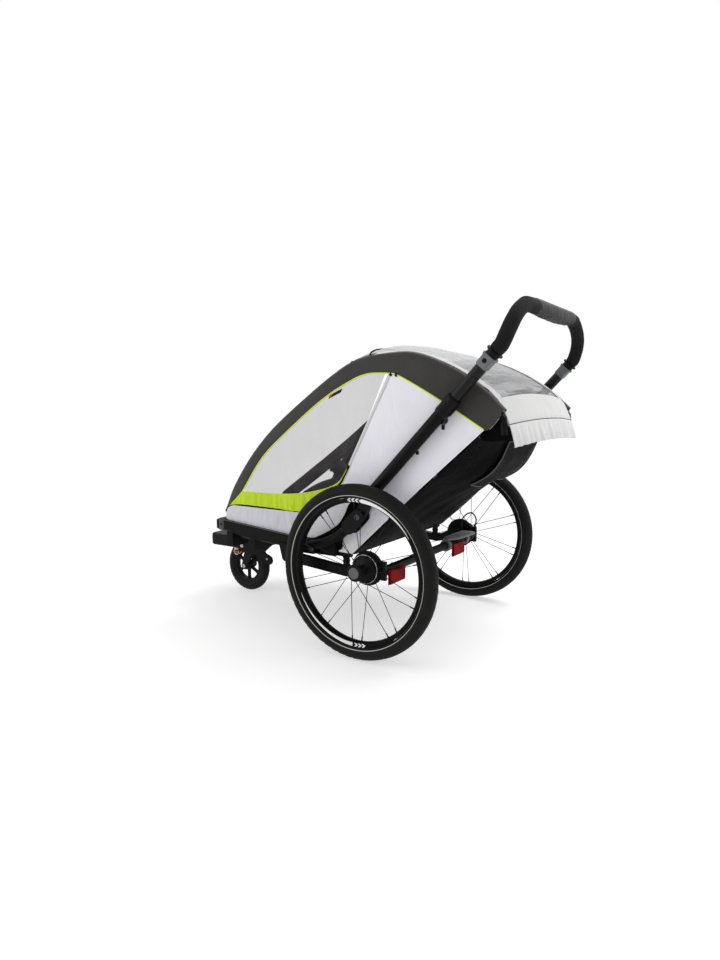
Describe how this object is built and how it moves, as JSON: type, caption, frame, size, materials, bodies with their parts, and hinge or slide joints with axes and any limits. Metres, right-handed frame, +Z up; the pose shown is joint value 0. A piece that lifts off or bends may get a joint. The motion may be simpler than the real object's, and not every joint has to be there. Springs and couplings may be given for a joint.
{
  "type": "child bike trailer",
  "caption": "Side-by-side child bike trailer in stroller form: spoked wheels on a sprung rear axle, swivelling front wheel, arched fabric canopy, clear windows and folding push handle.",
  "frame": {"origin": "on the ground below the middle of the trailer's length and width", "axes": "+X from the caster towards the push handle, +Y from the trailer's left side to its right side, +Z up"},
  "size_m": [1.2681, 0.799, 0.996],
  "materials": {
    "black_paint": "black powder coat, satin",
    "black_plastic": "fine grained",
    "rubber": "matt",
    "tyre": "matt, light tread",
    "foam": "closed-cell foam, matt",
    "grey_plastic": "fine grained",
    "hub_grey": "satin",
    "steel": "zinc plated",
    "black_fabric": "coated woven cloth",
    "band_fabric": "woven cloth",
    "white_fabric": "coated woven cloth",
    "clear_sheet": "clear flexible film",
    "red_lens": "prismatic",
    "seat_fabric": "padded woven cloth",
    "mesh": "open mesh"
  },
  "bodies": {
    "chassis": {"floor_frame": "black_paint", "floor_pan": "black_plastic", "corner_cap_left": "grey_plastic", "corner_cap_right": "grey_plastic", "hinge_post_left": "black_paint", "hinge_post_right": "black_paint", "skirt": "white_fabric", "side_panel_left": "white_fabric", "side_panel_right": "white_fabric", "side_window_left": "clear_sheet", "side_window_right": "clear_sheet", "back_panel": "black_fabric", "mesh_pocket": "mesh", "seat_base": "seat_fabric", "seat_back": "seat_fabric", "bolster_left": "seat_fabric", "bolster_right": "seat_fabric", "buckle_left": "black_plastic", "buckle_right": "black_plastic", "suspension_buffer_left": "rubber", "suspension_buffer_right": "rubber"},
    "buckle_button_left": {"buckle_button_left": "red_lens"},
    "buckle_button_right": {"buckle_button_right": "red_lens"},
    "swing": {"swing_frame": "black_paint", "brake_plate_left": "black_plastic", "brake_plate_right": "black_plastic", "reflector_left": "red_lens", "reflector_right": "red_lens", "brake_cable": "rubber"},
    "brake_pedal": {"brake_pedal": "grey_plastic"},
    "wheel_left": {"tyre_left": "tyre", "rim_left": "black_paint", "hub_left": "black_plastic"},
    "wheel_right": {"tyre_right": "tyre", "rim_right": "black_paint", "hub_right": "black_plastic"},
    "release_button_left": {"release_button_left": "hub_grey"},
    "release_button_right": {"release_button_right": "hub_grey"},
    "front_arm": {"front_arm": "black_plastic"},
    "caster_fork": {"caster_fork": "black_plastic"},
    "caster_wheel": {"caster_tyre": "tyre", "caster_rim": "black_plastic"},
    "lock_pin": {"lock_pin": "steel"},
    "push": {"main_tube_left": "black_paint", "main_tube_right": "black_paint"},
    "collar_left": {"collar_left": "black_plastic"},
    "collar_right": {"collar_right": "black_plastic"},
    "handle": {"inner_tube_left": "black_paint", "inner_tube_right": "black_paint", "clamp_left": "grey_plastic", "clamp_right": "grey_plastic", "handle_bar": "black_paint", "handle_foam": "foam"},
    "handle_catch_left": {"handle_catch_left": "black_plastic"},
    "handle_catch_right": {"handle_catch_right": "black_plastic"},
    "canopy": {"canopy_frame": "black_paint", "canopy_band": "band_fabric", "roof_panel": "white_fabric", "roof_window": "clear_sheet", "rear_flap": "white_fabric"}
  },
  "joints": [
    {"name": "suspension", "type": "hinge", "parent": "chassis", "child": "swing", "pos_m": [-0.0945, 0, 0.246], "axis": [0, -1, 0], "range_deg": [0, 4], "stiffness_Nm_per_rad": 1600, "springref_deg": -2.86, "deforming": ["suspension_buffer_left", "suspension_buffer_right"]},
    {"name": "wheel_left_spin", "type": "hinge", "parent": "swing", "child": "wheel_left", "pos_m": [0.2055, -0.376, 0.25], "axis": [0, 1, 0], "continuous": true},
    {"name": "wheel_right_spin", "type": "hinge", "parent": "swing", "child": "wheel_right", "pos_m": [0.2055, 0.376, 0.25], "axis": [0, 1, 0], "continuous": true},
    {"name": "release_left", "type": "slide", "parent": "wheel_left", "child": "release_button_left", "axis": [0, 1, 0], "range_m": [0, 0.0025], "stiffness_N_per_m": 500, "springref_m": -0.003},
    {"name": "release_right", "type": "slide", "parent": "wheel_right", "child": "release_button_right", "axis": [0, -1, 0], "range_m": [0, 0.0025], "stiffness_N_per_m": 500, "springref_m": -0.003},
    {"name": "brake_pedal_tilt", "type": "hinge", "parent": "swing", "child": "brake_pedal", "pos_m": [0.2505, 0, 0.245], "axis": [0, 1, 0], "range_deg": [0, 20]},
    {"name": "front_arm_fold", "type": "hinge", "parent": "chassis", "child": "front_arm", "pos_m": [-0.3795, 0, 0.228], "axis": [0, 1, 0], "range_deg": [0, 65]},
    {"name": "caster_swivel", "type": "hinge", "parent": "front_arm", "child": "caster_fork", "pos_m": [-0.4955, 0, 0.208], "axis": [0, 0, 1], "continuous": true},
    {"name": "caster_spin", "type": "hinge", "parent": "caster_fork", "child": "caster_wheel", "pos_m": [-0.5365, 0, 0.098], "axis": [0, 1, 0], "continuous": true},
    {"name": "lock_pin_pull", "type": "slide", "parent": "front_arm", "child": "lock_pin", "axis": [0, 0, -1], "range_m": [0, 0.015], "stiffness_N_per_m": 250, "springref_m": -0.004},
    {"name": "push_fold", "type": "hinge", "parent": "chassis", "child": "push", "pos_m": [0.1855, 0, 0.4], "axis": [0, 1, 0], "range_deg": [0, 44]},
    {"name": "canopy_fold", "type": "hinge", "parent": "chassis", "child": "canopy", "pos_m": [-0.3505, 0, 0.336], "axis": [0, 1, 0], "range_deg": [0, 18.3], "deforming": ["side_panel_left", "side_panel_right", "side_window_left", "side_window_right", "back_panel", "mesh_pocket", "seat_back", "bolster_left", "bolster_right"]},
    {"name": "handle_slide", "type": "slide", "parent": "push", "child": "handle", "axis": [0.6858, 0, 0.7278], "range_m": [0, 0.12]},
    {"name": "collar_left_twist", "type": "hinge", "parent": "push", "child": "collar_left", "pos_m": [0.43388, -0.328, 0.69235], "axis": [0.6858, 0, 0.7278], "range_deg": [0, 40]},
    {"name": "collar_right_twist", "type": "hinge", "parent": "push", "child": "collar_right", "pos_m": [0.43388, 0.328, 0.69235], "axis": [-0.6858, 0, -0.7278], "range_deg": [0, 40]},
    {"name": "catch_left_press", "type": "slide", "parent": "handle", "child": "handle_catch_left", "axis": [0, 1, 0], "range_m": [0, 0.0025], "stiffness_N_per_m": 400, "springref_m": -0.003},
    {"name": "catch_right_press", "type": "slide", "parent": "handle", "child": "handle_catch_right", "axis": [0, -1, 0], "range_m": [0, 0.0025], "stiffness_N_per_m": 400, "springref_m": -0.003},
    {"name": "buckle_left_press", "type": "slide", "parent": "chassis", "child": "buckle_button_left", "axis": [1, 0, 0], "range_m": [0, 0.003], "stiffness_N_per_m": 400, "springref_m": -0.003},
    {"name": "buckle_right_press", "type": "slide", "parent": "chassis", "child": "buckle_button_right", "axis": [1, 0, 0], "range_m": [0, 0.003], "stiffness_N_per_m": 400, "springref_m": -0.003}
  ],
  "couplings": [
    {"joint": "canopy_fold", "follows": "push_fold", "ratio": 0.4138}
  ]
}
